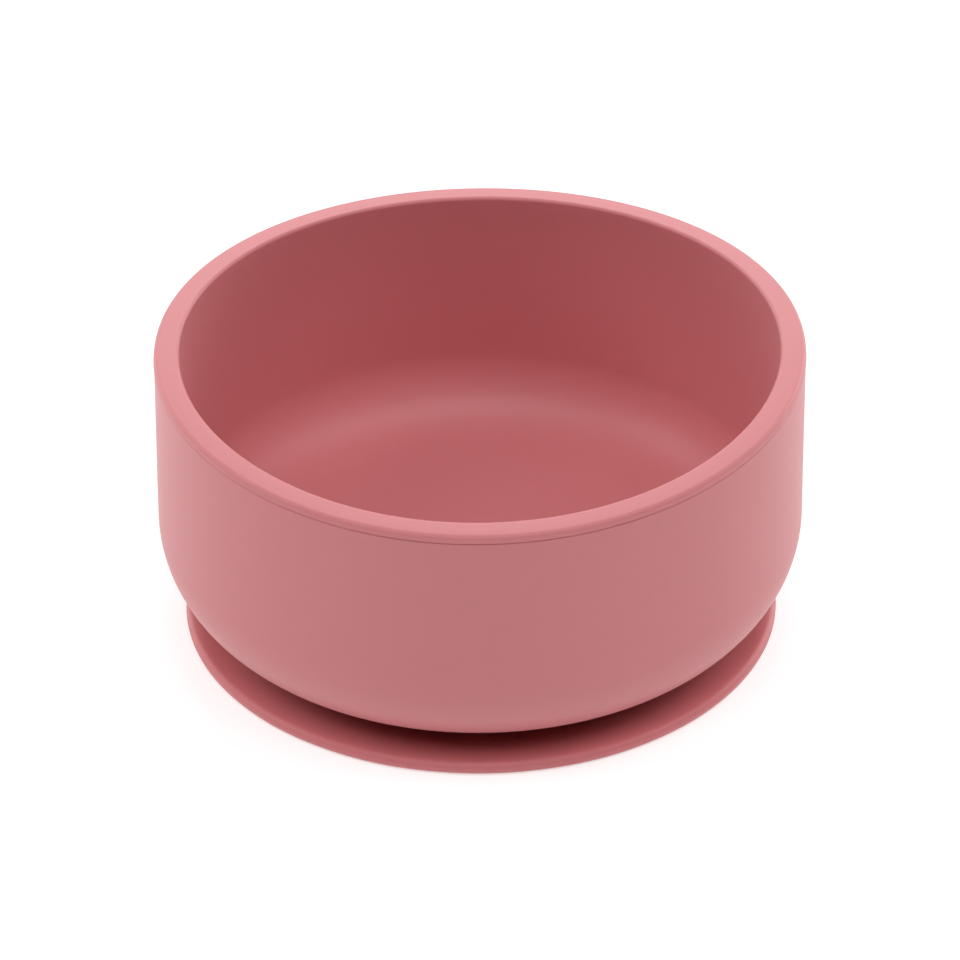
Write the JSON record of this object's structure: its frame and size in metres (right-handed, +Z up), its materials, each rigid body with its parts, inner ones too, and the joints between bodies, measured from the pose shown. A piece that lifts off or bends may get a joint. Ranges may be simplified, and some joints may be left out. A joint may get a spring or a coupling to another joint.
{
  "type": "suction bowl",
  "caption": "Round silicone feeding bowl with an upright wall, a thick flat rim and a wide, hollow suction foot that grips the table when pressed.",
  "frame": {"origin": "middle of the flat ring that the suction foot stands on, at table level", "axes": "+Z up along the bowl's axis of symmetry, towards the rim; X and Y are level, and the bowl is the same all round"},
  "size_m": [0.13, 0.13, 0.062],
  "materials": {
    "bowl_silicone": "matte",
    "foot_silicone": "matte"
  },
  "bodies": {
    "foot": {"suction_foot": "foot_silicone"},
    "bowl": {"bowl_body": "bowl_silicone"}
  },
  "joints": [
    {"name": "bowl_press", "type": "slide", "parent": "foot", "child": "bowl", "axis": [0, 0, 1], "range_m": [-0.0022, 0], "stiffness_N_per_m": 5000, "springref_m": 0.0004, "deforming": ["suction_foot"]}
  ]
}
